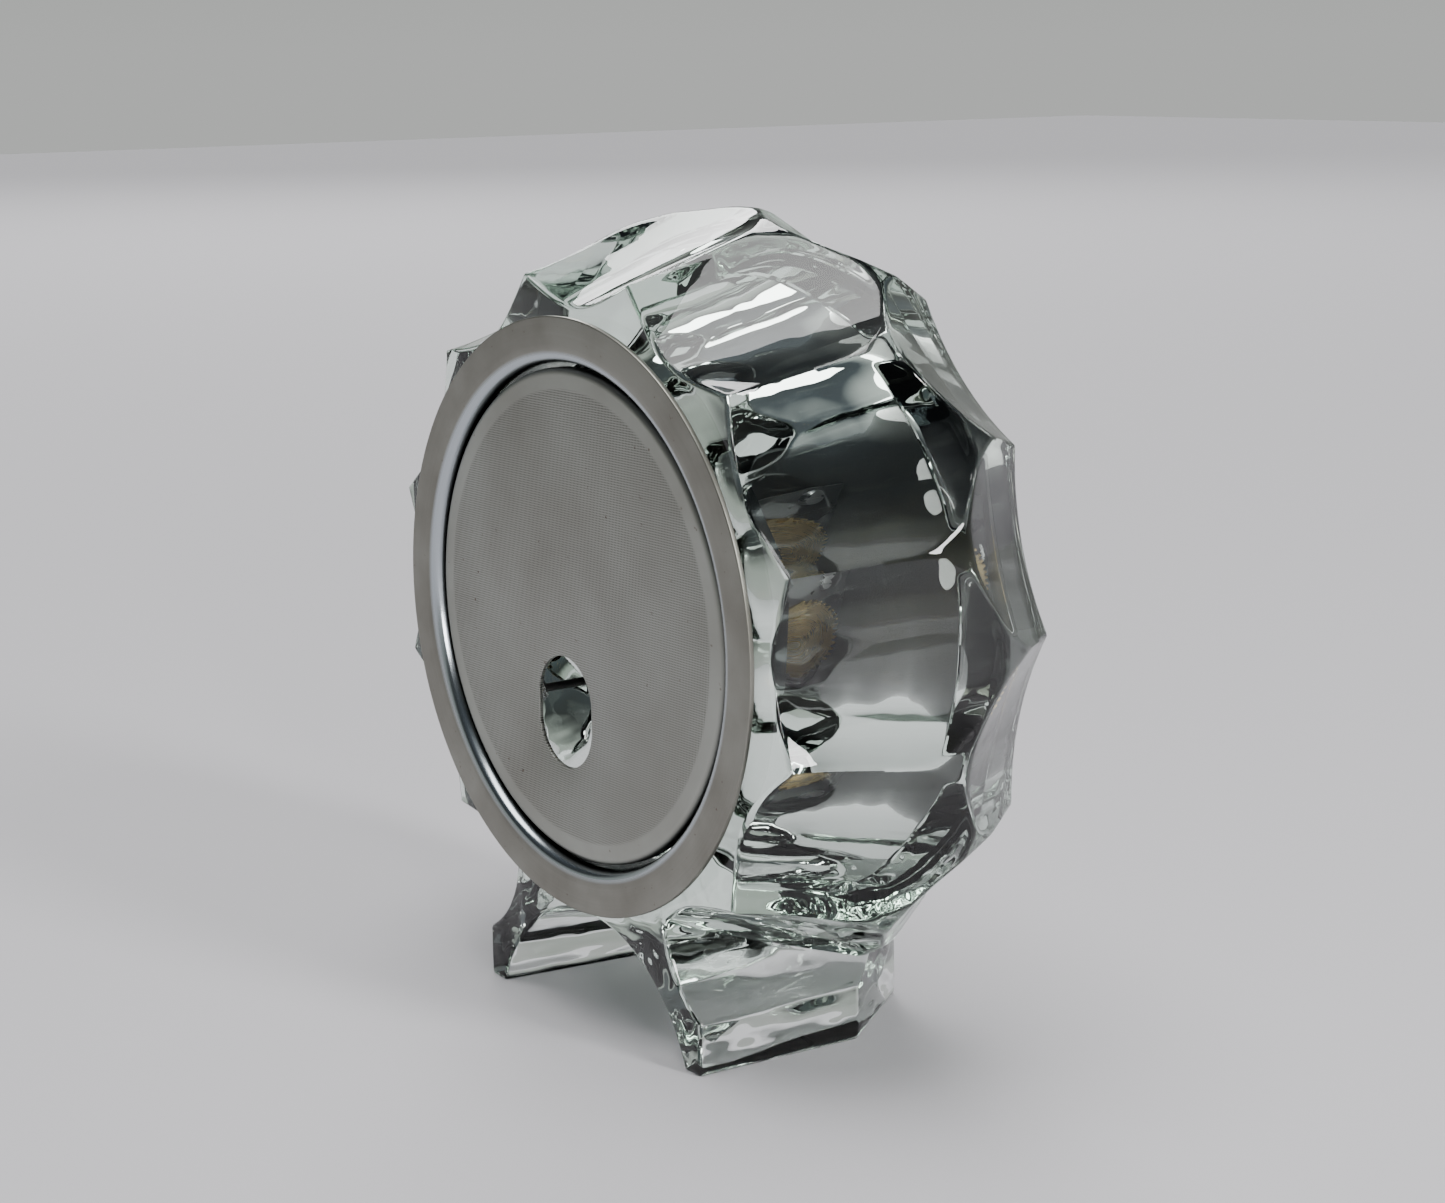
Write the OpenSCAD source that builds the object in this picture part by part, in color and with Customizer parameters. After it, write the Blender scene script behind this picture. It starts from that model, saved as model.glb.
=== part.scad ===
// Flip number clock in a pressed glass block: axis level, dial to -Y, back to +Y.
// Sub-parts are drawn in an axis frame: x right, y up, z forward from the back ring.

/* [Glass block] */
// Outside diameter of the back ring, which sets the size of the block
ring_d = 104; // [100:1:106]
// Height of the clock axis above the table
axis_h = 73.8; // [72:0.2:76]
// Distance from the back ring face to the front face of the glass
glass_front = 55; // [54:0.5:57]
// Number of thumb cuts round the block
cut_count = 12; // [12]
// Radius of the bore that takes the works
bore_r = 45; // [44.8:0.1:45.4]
// Height of the upright edge of each foot
foot_edge_h = 9.3; // [8:0.1:10]
// Radius of the arch between the feet at the back
arch_r = 30.2; // [29:0.1:31]

/* [Back ring and cover] */
// Sheet thickness of the ring and of the cover
sheet_t = 0.8; // [0.6:0.1:1]
// Radial shadow gap between the ring and the cover
cover_gap = 0.7; // [0.4:0.1:0.9]
// Width of the finger hole in the cover
finger_w = 16.3; // [15:0.1:17]
// Height of the finger hole in the cover
finger_h = 19.9; // [19:0.1:21]

/* [Display] */
// Height of one leaf, half a figure
leaf_h = 10; // [9.5:0.1:10]
// Thickness of one leaf
leaf_t = 0.4; // [0.3:0.05:0.4]
// Width of an hour leaf
hour_leaf_w = 21; // [19:0.5:21]
// Width of a minute leaf
minute_leaf_w = 10.5; // [9.5:0.5:10.5]

/* [Works] */
// Diameter of the two tie rods
rod_d = 1.6; // [1.2:0.1:2]
// Module of the display gears
gear_m = 0.6; // [0.6]
// Diameter of the battery cell
cell_d = 14.2; // [13.8:0.1:14.5]
// Diameter of the motor can
motor_d = 20; // [18:0.5:20]

/* [Hidden] */

smooth = 96;
fine = 48;
ring_r = ring_d / 2;
bezel_proud = 1.6;
back_y = (glass_front + bezel_proud) / 2;
glass_back = 3;
pitch_a = 360 / cut_count;
over = 1;

// Thumb cuts: blunt cones whose points lie just inside the ring edge
cut_point_r = 0.969 * ring_r;
cut_point_z = -0.08 * ring_r;
cut_half_a = 64.7;
cut_lean = 87.4;
cut_reach = 40;
// Front cuts: large rounds laid back from the front face
front_cut_r = 62;
front_cut_foot_r = 1.095 * ring_r;
front_cut_a = 28.4;
front_cut_len = 90;

// Feet in plan: half widths at the back, at the widest point and in front
foot_back_x = 33;
foot_wide_x = 35.9;
foot_wide_z = 35;
foot_front_x = 22.3;
foot_top = -46;
foot_side_r = 18;
foot_side_x = foot_back_x + 8;
foot_side_y = -(axis_h - foot_edge_h - foot_side_r) - 1.6;
foot_side_a = 6.8;
arch_drop = 83.7;
arch_front_r = arch_r - 7.8;

// Ring and cover
ring_in_r = 0.844 * ring_r;
ring_edge = 0.9;
ring_taper = 4;
sleeve_out_r = ring_in_r + sheet_t;
sleeve_end = 12;
cover_r = ring_in_r - cover_gap;
cover_face = 1.4;
cover_skirt = 4.2;
cover_round = 1.6;
clip_t = 0.5;
clip_a = 12;
finger_x = 3.3;
finger_y = -17.2;

// Display: drum axis, leaf pivots and leaf envelope
drum_z = 30;
pivot_r = 5.4;
disc_r = 6.8;
disc_t = 0.8;
leaf_env = pivot_r + leaf_h;
mask_z = drum_z + leaf_env + 0.4;
mask_t = 1.2;
mask_r = bore_r + 0.5;
seat_r = bore_r + 0.8;
hour_x = -23.5;
tens_x = 1.2;
minute_x = 14;
hour_count = 12;
tens_count = 12;
minute_count = 10;
leaf_gap = 0.25;
pin_d = 0.8;
pin_hole_d = 0.95;
window_h = 2 * leaf_h + 1;
shaft_d = 3;
hub_r = 2.8;
ratchet_r = 4.8;

// Works frame
plate_x = 26.2;
plate_t = 1.2;
tab_w = 5.3;
tab_y = 15;
spacer_r = 2;
spacer_list = [[19.5, 38], [16.5, 13.5], [-21, 39]];
shelf_y = 19.5;
shelf_z = 27.5;
rod_x = 19.8;
rod_y = -17;
rod_back = 3.6;
bracket_z = 4.8;
bracket_t = 1.2;
pawl_y = 3;
pawl_z = drum_z - 19.6;
pawl_d = 2;
stop_t = 0.4;
stop_z = spacer_list[0][1] + spacer_r;

// Gear train
minute_teeth = 40;
relay_small_teeth = 10;
relay_teeth = 36;
relay_m = 0.5;
motor_teeth = 12;
setting_wheel_teeth = 48;
setting_teeth = 30;
relay_dist = gear_m * (minute_teeth + relay_small_teeth) / 2;
relay_dir = 105;
relay_y = relay_dist * sin(relay_dir);
relay_z = drum_z + relay_dist * cos(relay_dir);
motor_dist = relay_m * (relay_teeth + motor_teeth) / 2;
motor_dir = 226;
motor_y = relay_y + motor_dist * sin(motor_dir);
motor_z = relay_z + motor_dist * cos(motor_dir);
setting_dist = gear_m * (setting_wheel_teeth + setting_teeth) / 2;
setting_z = 17.45;
setting_y = -sqrt(setting_dist * setting_dist - pow(drum_z - setting_z, 2));
gear_t = 1.6;
gear_x = plate_x + plate_t + 0.6;
relay_x = gear_x + gear_t + 0.8;
motor_x = 34.6;
motor_len = 5.2;
knob_r = 6.6;
knob_x = -12;
knob_len = 6;

// Battery
cell_y = 28;
cell_z = 17;
cell_len = 49.2;
button_len = 1.3;
tray_t = 1.2;
tray_len = 54.6;
tray_depth = 17;

// Stand the axis frame level at the height of the clock axis
module on_axis() {
    translate([0, back_y, axis_h])
        rotate([90, 0, 0])
            children();
}

// Lay a part drawn along z on a line across the works
module across(x, y, z) {
    translate([x, y, z])
        rotate([0, 90, 0])
            children();
}

// Turn about the clock axis at each cut
module each_cut(first) {
    for (i = [0 : cut_count - 1])
        rotate([0, 0, first + i * pitch_a])
            children();
}

// Tapered flat-sided gear outline, tooth centred on the turn angle
module gear_shape(m, teeth, turn, hole_d) {
    pr = m * teeth / 2;
    root = pr - 1.25 * m;
    tip = pr + 0.9 * m;
    step = 360 / teeth;
    difference() {
        polygon([for (i = [0 : teeth - 1])
            for (k = [[root, -0.34], [tip, -0.13], [tip, 0.13], [root, 0.34]])
                [k[0] * cos(turn + (i + k[1]) * step),
                 k[0] * sin(turn + (i + k[1]) * step)]]);
        circle(d = hole_d, $fn = fine);
    }
}

// Angle, in the gear plane, of the line from one shaft to another
function mesh_a(y0, z0, y1, z1) = atan2(y1 - y0, z0 - z1);

module turned_block() {
    rotate_extrude($fn = smooth)
        polygon([[0, glass_back], [1.19 * ring_r, glass_back],
            [1.273 * ring_r, 22], [1.302 * ring_r, 28],
            [1.318 * ring_r, 34], [1.316 * ring_r, 40],
            [1.29 * ring_r, 46], [1.215 * ring_r, glass_front - 1.2],
            [1.19 * ring_r, glass_front], [0, glass_front]]);
}

module thumb_cut() {
    translate([cut_point_r, 0, cut_point_z])
        rotate([0, cut_lean, 0])
            cylinder(h = cut_reach, r1 = 0,
                r2 = cut_reach * tan(cut_half_a), $fn = smooth);
}

module front_cut() {
    translate([front_cut_foot_r, 0, glass_front])
        rotate([0, -front_cut_a, 0])
            translate([front_cut_r, 0, 0])
                cylinder(h = front_cut_len, r = front_cut_r,
                    center = true, $fn = smooth);
}

module foot_prism() {
    translate([0, foot_top, 0])
        rotate([90, 0, 0])
            linear_extrude(height = axis_h + foot_top)
                polygon([[0, glass_back], [foot_back_x, glass_back],
                    [foot_wide_x, foot_wide_z],
                    [foot_front_x, glass_front], [0, glass_front]]);
}

module foot() {
    difference() {
        foot_prism();
        // hollow outer side, opening toward the front
        translate([foot_side_x, foot_side_y, glass_back])
            rotate([0, foot_side_a, 0])
                translate([0, 0, -10])
                    cylinder(h = 80, r = foot_side_r, $fn = smooth);
    }
}

module glass_block() {
    color([0.86, 0.93, 0.9, 0.4])
        on_axis()
            difference() {
                union() {
                    difference() {
                        turned_block();
                        each_cut(0)
                            thumb_cut();
                        each_cut(pitch_a / 2)
                            front_cut();
                    }
                    foot();
                    mirror([1, 0, 0])
                        foot();
                }
                // arch between the feet, tapering to the front
                translate([0, -arch_drop, glass_back - over])
                    cylinder(h = glass_front - glass_back + 2 * over,
                        r1 = arch_r, r2 = arch_front_r, $fn = smooth);
                // bore for the works
                translate([0, 0, -over])
                    cylinder(h = glass_front + 2 * over, r = bore_r,
                        $fn = smooth);
                // step that the mask stands on
                translate([0, 0, mask_z])
                    cylinder(h = glass_front, r = seat_r, $fn = smooth);
                // seat for the bezel flange
                translate([0, 0, glass_front - 1])
                    cylinder(h = 1 + over, r = bore_r + 3.4, $fn = smooth);
            }
}

module back_ring() {
    color("silver")
        on_axis()
            rotate_extrude($fn = smooth)
                polygon([[ring_r, ring_edge], [ring_r, 0.35],
                    [ring_r - 0.35, 0],
                    [ring_in_r + 2.9, 0], [ring_in_r + 1.5, 0.2],
                    [ring_in_r + 0.5, 0.8], [ring_in_r, 1.9],
                    [ring_in_r, sleeve_end], [sleeve_out_r, sleeve_end],
                    [sleeve_out_r, glass_back],
                    [ring_r - ring_taper, glass_back]]);
}

module finger_shape() {
    spread = (finger_h - finger_w) / 2;
    translate([finger_x, finger_y]) {
        translate([0, spread])
            circle(d = finger_w, $fn = smooth);
        translate([0, -spread])
            circle(d = finger_w, $fn = smooth);
        square([finger_w, 2 * spread], center = true);
    }
}

module back_cover() {
    color("lightgray")
        on_axis()
            difference() {
                rotate_extrude($fn = smooth)
                    polygon([[0, cover_face], [cover_r - cover_round, cover_face],
                        [cover_r - 0.8, cover_face + 0.25],
                        [cover_r - 0.25, cover_face + 0.8],
                        [cover_r, cover_face + cover_round],
                        [cover_r, cover_skirt],
                        [cover_r - sheet_t, cover_skirt],
                        [cover_r - sheet_t, cover_face + cover_round],
                        [cover_r - cover_round, cover_face + sheet_t],
                        [0, cover_face + sheet_t]]);
                linear_extrude(height = 6)
                    finger_shape();
            }
}

module cover_clips() {
    color("gainsboro")
        on_axis()
            for (a = [0, 120, 240])
                rotate([0, 0, a + 90 - clip_a / 2])
                    rotate_extrude(angle = clip_a, $fn = smooth)
                        polygon([[cover_r - sheet_t - clip_t, cover_face + 1.8],
                            [cover_r - sheet_t, cover_face + 1.8],
                            [cover_r - sheet_t, cover_skirt + 0.2],
                            [cover_r + 0.2, cover_skirt + 2.3],
                            [cover_r - sheet_t, cover_skirt + 4.3],
                            [cover_r - sheet_t - clip_t, cover_skirt + 4.3],
                            [cover_r + 0.2 - clip_t, cover_skirt + 2.3],
                            [cover_r - sheet_t - clip_t, cover_skirt + 0.4]]);
}

module front_bezel() {
    color("dimgray")
        on_axis()
            rotate_extrude($fn = smooth)
                polygon([[bore_r + 3, glass_front - 1],
                    [bore_r + 3, glass_front + 0.9],
                    [bore_r + 2.3, glass_front + bezel_proud],
                    [bore_r - 0.5, glass_front + bezel_proud],
                    [bore_r - 3, glass_front - 0.4],
                    [bore_r - 3, glass_front - 1.6],
                    [bore_r - 1.5, glass_front - 1.6],
                    [bore_r - 1.5, mask_z + mask_t],
                    [mask_r, mask_z + mask_t],
                    [mask_r, glass_front - 1]]);
}

module front_lens() {
    color([0.9, 0.95, 1, 0.35])
        on_axis()
            translate([0, 0, glass_front - 3.8])
                cylinder(h = 1.8, r = bore_r - 1.8, $fn = smooth);
}

module lens_gasket() {
    color("black")
        on_axis()
            translate([0, 0, mask_z + mask_t])
                difference() {
                    cylinder(h = glass_front - 3.8 - mask_z - mask_t,
                        r = bore_r - 1.6, $fn = smooth);
                    translate([0, 0, -over])
                        cylinder(h = 12, r = bore_r - 3.2, $fn = smooth);
                }
}

module window(x, w) {
    translate([x + w / 2, 0, 0])
        cube([w + 1, window_h, 10], center = true);
}

module mask_screw_places() {
    for (s = [-1, 1])
        for (y = [-tab_y, tab_y])
            translate([s * (plate_x - tab_w / 2), y, 0])
                children();
}

module display_mask() {
    color("black")
        on_axis()
            difference() {
                translate([0, 0, mask_z])
                    cylinder(h = mask_t, r = mask_r, $fn = smooth);
                translate([0, 0, mask_z]) {
                    window(hour_x, hour_leaf_w);
                    window(tens_x, minute_leaf_w);
                    window(minute_x, minute_leaf_w);
                    mask_screw_places()
                        cylinder(h = 10, d = 2.1, center = true, $fn = fine);
                    for (s = [-1, 1])
                        translate([s * rod_x, rod_y, 0])
                            cylinder(h = 10, d = rod_d + 0.2,
                                center = true, $fn = fine);
                }
            }
}

// Side plate outline in the y-z plane, with its front tab folded inward
module side_plate(x_in, low, shaft_hole_d, side) {
    across(x_in, 0, 0)
        linear_extrude(height = plate_t)
            difference() {
                polygon([[-mask_z, -19.5], [-mask_z, 22], [-shelf_z, 22],
                    [-shelf_z, shelf_y], [-10, shelf_y], [-6.6, 6.5],
                    [-6.6, -2], [side < 0 ? -10 : -20, low],
                    [-33, low], [-36, -24], [-42, -24]]);
                translate([-drum_z, 0])
                    circle(d = shaft_hole_d, $fn = fine);
                for (p = spacer_list)
                    translate([-p[1], p[0]])
                        circle(d = 2.2, $fn = fine);
                translate([-pawl_z, pawl_y])
                    circle(d = pawl_d, $fn = fine);
                if (side > 0) {
                    translate([-relay_z, relay_y])
                        circle(d = 2.1, $fn = fine);
                } else {
                    translate([-setting_z, setting_y])
                        circle(d = shaft_d + 0.1, $fn = fine);
                }
            }
}

module front_tabs(side) {
    for (y = [-tab_y, tab_y])
        translate([side > 0 ? plate_x - tab_w : -plate_x,
            y - 3, mask_z - 1])
            difference() {
                cube([tab_w, 6, 1]);
                translate([tab_w / 2, 3, -over])
                    cylinder(h = 4, d = 1.6, $fn = fine);
            }
}

module left_plate() {
    color([0.1, 0.1, 0.1])
        on_axis() {
            side_plate(-plate_x - plate_t, -24, shaft_d + 0.1, -1);
            front_tabs(-1);
        }
}

module right_plate() {
    color([0.1, 0.1, 0.1])
        on_axis() {
            side_plate(plate_x, -12.5, shaft_d + 0.1, 1);
            front_tabs(1);
        }
}

module plate_spacers() {
    color("goldenrod")
        on_axis()
            for (p = spacer_list)
                across(-plate_x, p[0], p[1])
                    difference() {
                        cylinder(h = 2 * plate_x, r = spacer_r, $fn = fine);
                        for (z = [0, 2 * plate_x - 5])
                            translate([0, 0, z])
                                cylinder(h = 5, d = 1.6, $fn = fine);
                    }
}

module cheese_screw(d, len, head_d, head_h) {
    difference() {
        union() {
            cylinder(h = len, d = d, $fn = fine);
            translate([0, 0, -head_h])
                cylinder(h = head_h, d = head_d, $fn = fine);
        }
        translate([0, 0, -head_h])
            cube([head_d + 1, 0.5, head_h], center = true);
    }
}

module spacer_screws() {
    color("gray")
        on_axis()
            for (p = spacer_list)
                for (s = [-1, 1])
                    across(s * (plate_x + plate_t), p[0], p[1])
                        rotate([s < 0 ? 0 : 180, 0, 0])
                            cheese_screw(1.6, 5.2, 3.6, 1.1);
}

module mask_screws() {
    color("gray")
        on_axis()
            mask_screw_places()
                translate([0, 0, mask_z + mask_t])
                    rotate([180, 0, 0])
                        cheese_screw(1.6, 2.6, 3.2, 0.9);
}

module tie_rods() {
    color([0.08, 0.08, 0.08])
        on_axis()
            for (s = [-1, 1])
                translate([s * rod_x, rod_y, rod_back])
                    cylinder(h = mask_z + mask_t + 2 - rod_back,
                        d = rod_d, $fn = fine);
}

module rod_brackets() {
    color("silver")
        on_axis()
            for (s = [0, 1])
                mirror([s, 0, 0])
                    translate([0, 0, bracket_z])
                        linear_extrude(height = bracket_t)
                            difference() {
                                intersection() {
                                    circle(r = ring_in_r, $fn = smooth);
                                    translate([rod_x, rod_y])
                                        rotate(atan2(rod_y, rod_x))
                                            translate([-3, -3])
                                                square([30, 6]);
                                }
                                translate([rod_x, rod_y])
                                    circle(d = rod_d, $fn = fine);
                            }
}

module rod_nuts() {
    color("dimgray")
        on_axis()
            for (s = [-1, 1])
                for (z = [bracket_z + bracket_t, mask_z + mask_t])
                    translate([s * rod_x, rod_y, z])
                        difference() {
                            cylinder(h = 1.3, d = 3.8, $fn = 6);
                            cylinder(h = 1.3, d = rod_d, $fn = fine);
                        }
}

// Spring strips that steady the top leaves, one over each drum
module leaf_stops() {
    color("lightsteelblue")
        on_axis()
            for (c = [hour_x + hour_leaf_w / 2, tens_x + minute_leaf_w / 2,
                    minute_x + minute_leaf_w / 2])
                translate([c - 1.5, 0, 0]) {
                    translate([0, leaf_env + 0.4, drum_z + 2])
                        cube([3, stop_t, stop_z - drum_z - 2 + stop_t]);
                    translate([0, leaf_env + 0.4, stop_z])
                        cube([3, spacer_list[0][0] + 1 - leaf_env, stop_t]);
                }
}

module main_shaft() {
    color("silver")
        on_axis()
            across(-plate_x - plate_t - 4, 0, drum_z)
                cylinder(h = 2 * (plate_x + plate_t) + 8, d = shaft_d,
                    $fn = fine);
}

module drum(x, w, count, bore, ratchet_len) {
    across(x, 0, drum_z)
        difference() {
            union() {
                cylinder(h = w, r = hub_r, $fn = fine);
                cylinder(h = disc_t, r = disc_r, $fn = smooth);
                translate([0, 0, w - disc_t])
                    cylinder(h = disc_t, r = disc_r, $fn = smooth);
                if (ratchet_len > 0)
                    translate([0, 0, w])
                        linear_extrude(height = ratchet_len)
                            ratchet_shape(count);
            }
            translate([0, 0, -over])
                cylinder(h = w + ratchet_len + 2 * over, d = bore,
                    $fn = fine);
            for (i = [0 : count - 1])
                rotate([0, 0, i * 360 / count + 180])
                    translate([pivot_r, 0, -over])
                        cylinder(h = w + 2 * over, d = pin_hole_d,
                            $fn = 24);
        }
}

module ratchet_shape(count) {
    step = 360 / count;
    polygon([for (i = [0 : count - 1])
        for (k = [[ratchet_r, 0], [ratchet_r - 1.6, 0.05]])
            [k[0] * cos((i + k[1]) * step), k[0] * sin((i + k[1]) * step)]]);
}

// One leaf: pivot pins at the origin line, plate standing up from them
module leaf(w, inner) {
    translate([inner, 0.1, -leaf_t / 2])
        cube([w - 2 * inner, leaf_h - 0.1, leaf_t]);
    rotate([0, 90, 0])
        cylinder(h = w, d = pin_d, $fn = 24);
}

// Lean of each leaf from upright: waiting leaves trail back, the rest hang
function leaf_lean(a) = a < 180 ? a : 180;

module leaf_pack(x, w, count) {
    step = 360 / count;
    for (i = [1 : count - 1])
        translate([x, pivot_r * sin(i * step),
            drum_z + pivot_r * cos(i * step)])
            rotate([-leaf_lean(i * step), 0, 0])
                leaf(w, disc_t + leaf_gap);
}

module top_leaf(x, w) {
    translate([x, 0, drum_z + pivot_r])
        leaf(w, disc_t + leaf_gap);
}

module hour_drum() {
    color("ivory")
        on_axis()
            drum(hour_x, hour_leaf_w, hour_count, shaft_d + 0.1, 1.4);
}

module hour_leaves() {
    color([0.12, 0.12, 0.12])
        on_axis()
            leaf_pack(hour_x, hour_leaf_w, hour_count);
}

module hour_top_leaf() {
    color([0.1, 0.1, 0.1])
        on_axis()
            top_leaf(hour_x, hour_leaf_w);
}

module tens_drum() {
    color("ivory")
        on_axis()
            drum(tens_x, minute_leaf_w, tens_count, shaft_d + 0.1, 1.2);
}

module tens_leaves() {
    color([0.12, 0.12, 0.12])
        on_axis()
            leaf_pack(tens_x, minute_leaf_w, tens_count);
}

module tens_top_leaf() {
    color([0.1, 0.1, 0.1])
        on_axis()
            top_leaf(tens_x, minute_leaf_w);
}

module minute_drum() {
    color("ivory")
        on_axis()
            drum(minute_x, minute_leaf_w, minute_count, shaft_d, 0);
}

module minute_leaves() {
    color([0.12, 0.12, 0.12])
        on_axis()
            leaf_pack(minute_x, minute_leaf_w, minute_count);
}

module minute_top_leaf() {
    color([0.1, 0.1, 0.1])
        on_axis()
            top_leaf(minute_x, minute_leaf_w);
}

module pawl_rod() {
    color("silver")
        on_axis()
            across(-plate_x - plate_t, pawl_y, pawl_z)
                cylinder(h = 2 * (plate_x + plate_t), d = pawl_d,
                    $fn = fine);
}

module pawl(x, t) {
    reach = drum_z - pawl_z - ratchet_r - 0.5;
    across(x, pawl_y, pawl_z)
        difference() {
            union() {
                cylinder(h = t, r = 2, $fn = fine);
                translate([-reach, -0.7, 0])
                    cube([reach, 1.4, t]);
            }
            translate([0, 0, -over])
                cylinder(h = t + 2 * over, d = pawl_d + 0.1, $fn = fine);
        }
}

module hour_pawl() {
    color("darkgoldenrod")
        on_axis()
            pawl(hour_x + hour_leaf_w + 0.3, 0.8);
}

module tens_pawl() {
    color("darkgoldenrod")
        on_axis()
            pawl(tens_x + minute_leaf_w + 0.2, 0.8);
}

minute_turn = mesh_a(0, drum_z, relay_y, relay_z);
relay_turn = mesh_a(relay_y, relay_z, motor_y, motor_z);
setting_turn = mesh_a(0, drum_z, setting_y, setting_z);

module minute_gear() {
    color("gold")
        on_axis()
            across(gear_x, 0, drum_z)
                linear_extrude(height = gear_t)
                    gear_shape(gear_m, minute_teeth, minute_turn, shaft_d);
}

module relay_wheel() {
    color("gold")
        on_axis()
            difference() {
                union() {
                    across(gear_x - 0.3, relay_y, relay_z)
                        linear_extrude(height = relay_x - gear_x + 0.3)
                            gear_shape(gear_m, relay_small_teeth,
                                minute_turn + 180 + 180 / relay_small_teeth,
                                1.4);
                    across(relay_x, relay_y, relay_z)
                        linear_extrude(height = 1.2)
                            gear_shape(relay_m, relay_teeth, relay_turn, 1.4);
                    across(plate_x - 0.6, relay_y, relay_z)
                        cylinder(h = relay_x - plate_x + 2.6, d = 2,
                            $fn = fine);
                }
            }
}

module motor_pinion() {
    color("white")
        on_axis()
            across(relay_x - 0.6, motor_y, motor_z)
                linear_extrude(height = 2.4)
                    gear_shape(relay_m, motor_teeth,
                        relay_turn + 180 + 180 / motor_teeth, 1.2);
}

module motor() {
    color("slategray")
        on_axis() {
            across(motor_x, motor_y, motor_z)
                cylinder(h = motor_len, d = motor_d, $fn = smooth);
            across(relay_x - 1, motor_y, motor_z)
                cylinder(h = motor_x - relay_x + 1, d = 1.2, $fn = fine);
        }
}

module motor_posts() {
    color("goldenrod")
        on_axis()
            for (a = [-110, 120, 180])
                translate([0, 8.2 * sin(a), 8.2 * cos(a)])
                    across(plate_x + plate_t, motor_y, motor_z)
                        cylinder(h = motor_x - plate_x - plate_t, d = 2.4,
                            $fn = fine);
}

module setting_wheel() {
    color("gold")
        on_axis()
            across(-gear_x - gear_t, 0, drum_z)
                linear_extrude(height = gear_t)
                    gear_shape(gear_m, setting_wheel_teeth, setting_turn,
                        shaft_d);
}

module setting_pinion() {
    color("white")
        on_axis()
            across(-gear_x - gear_t, setting_y, setting_z)
                linear_extrude(height = gear_t)
                    gear_shape(gear_m, setting_teeth,
                        setting_turn + 180 + 180 / setting_teeth, shaft_d);
}

module setting_shaft() {
    color("silver")
        on_axis()
            across(-gear_x - gear_t - 0.4, setting_y, setting_z)
                cylinder(h = knob_x + knob_len + gear_x + gear_t + 0.4,
                    d = shaft_d, $fn = fine);
}

module setting_knob() {
    color("black")
        on_axis()
            across(knob_x, setting_y, setting_z)
                difference() {
                    cylinder(h = knob_len, r = knob_r, $fn = smooth);
                    translate([0, 0, -over])
                        cylinder(h = knob_len + 2 * over, d = shaft_d,
                            $fn = fine);
                    for (i = [0 : 23])
                        rotate([0, 0, i * 15])
                            translate([knob_r + 0.3, 0, -over])
                                cylinder(h = knob_len + 2 * over, r = 0.6,
                                    $fn = 24);
                }
}

module battery_holder() {
    color([0.1, 0.1, 0.1])
        on_axis()
            difference() {
                translate([-tray_len / 2, cell_y - cell_d / 2 - tray_t - 0.2,
                    cell_z - cell_d / 2])
                    cube([tray_len, 9, tray_depth]);
                translate([-tray_len / 2 + tray_t, cell_y, cell_z])
                    rotate([0, 90, 0])
                        cylinder(h = tray_len - 2 * tray_t,
                            d = cell_d + 0.4, $fn = smooth);
                translate([-tray_len / 2 + tray_t, cell_y - cell_d / 2 - 0.2,
                    cell_z - cell_d / 2 - over])
                    cube([tray_len - 2 * tray_t, cell_d, cell_d / 2 + over]);
            }
}

module battery_contacts() {
    color("gainsboro")
        on_axis()
            for (s = [0, 1])
                mirror([s, 0, 0])
                    translate([tray_len / 2 - tray_t - 0.5, cell_y - 5.5,
                        cell_z - 4])
                        cube([0.5, 7, 8]);
}

module battery() {
    color("darkgray")
        on_axis()
            across(-(cell_len + button_len) / 2, cell_y, cell_z) {
                cylinder(h = cell_len, d = cell_d, $fn = smooth);
                translate([0, 0, cell_len])
                    cylinder(h = button_len, d = 5.2, $fn = fine);
            }
}

glass_block();
back_ring();
back_cover();
cover_clips();
front_bezel();
front_lens();
lens_gasket();
display_mask();
left_plate();
right_plate();
plate_spacers();
spacer_screws();
mask_screws();
tie_rods();
rod_brackets();
rod_nuts();
leaf_stops();
main_shaft();
minute_drum();
minute_leaves();
minute_top_leaf();
tens_drum();
tens_leaves();
tens_top_leaf();
hour_drum();
hour_leaves();
hour_top_leaf();
pawl_rod();
tens_pawl();
hour_pawl();
minute_gear();
relay_wheel();
motor_pinion();
motor();
motor_posts();
setting_wheel();
setting_pinion();
setting_shaft();
setting_knob();
battery_holder();
battery_contacts();
battery();
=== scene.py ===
import math
import bpy
import bmesh
import numpy as np
from mathutils import Matrix, Vector


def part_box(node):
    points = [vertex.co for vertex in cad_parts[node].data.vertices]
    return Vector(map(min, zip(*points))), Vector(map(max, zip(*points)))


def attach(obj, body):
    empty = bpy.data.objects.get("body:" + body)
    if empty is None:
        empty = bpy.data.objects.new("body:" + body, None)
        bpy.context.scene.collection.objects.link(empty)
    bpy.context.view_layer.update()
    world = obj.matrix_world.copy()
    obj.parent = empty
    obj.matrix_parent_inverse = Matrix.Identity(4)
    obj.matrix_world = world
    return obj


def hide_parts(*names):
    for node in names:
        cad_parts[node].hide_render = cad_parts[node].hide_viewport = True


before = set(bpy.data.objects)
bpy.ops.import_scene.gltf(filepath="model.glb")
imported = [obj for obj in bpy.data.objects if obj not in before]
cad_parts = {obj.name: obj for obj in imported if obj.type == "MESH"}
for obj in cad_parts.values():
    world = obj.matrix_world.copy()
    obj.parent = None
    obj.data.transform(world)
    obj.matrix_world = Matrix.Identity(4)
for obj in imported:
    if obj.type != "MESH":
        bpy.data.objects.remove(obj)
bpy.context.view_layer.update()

# --- Studio ------------------------------------------------------------------
# The clock stands on a plain pale floor and is seen from behind, a little above.
# Soft white panels in a darker room give pressed glass its crisp edges.
studio = bpy.context.scene
ring_low, ring_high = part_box("back_ring")
axis_height = (ring_low.z + ring_high.z) / 2
back_face = ring_high.y


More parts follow.
